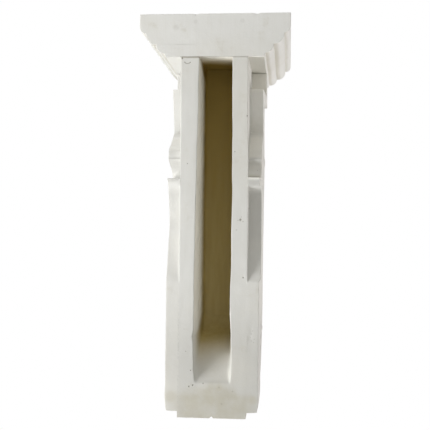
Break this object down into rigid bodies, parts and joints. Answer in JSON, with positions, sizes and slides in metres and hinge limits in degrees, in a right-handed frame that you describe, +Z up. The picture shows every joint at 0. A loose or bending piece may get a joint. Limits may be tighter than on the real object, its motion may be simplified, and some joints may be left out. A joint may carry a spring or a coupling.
{
  "type": "plaster corbel bracket",
  "caption": "Wall corbel: moulded cap on a scrolled bracket with lobed side relief and a long hollow in its back, in off-white painted cast plaster.",
  "frame": {"origin": "centre of the cap's flat back face, which bears on the wall", "axes": "+Y is out of the back, into the wall, so the corbel projects towards -Y; +Z is up; +X runs along the wall"},
  "size_m": [0.21, 0.285, 0.557],
  "materials": {
    "painted_plaster": "off-white matt paint over cast plaster"
  },
  "bodies": {
    "root": {"cap": "painted_plaster", "bracket": "painted_plaster"}
  },
  "joints": []
}
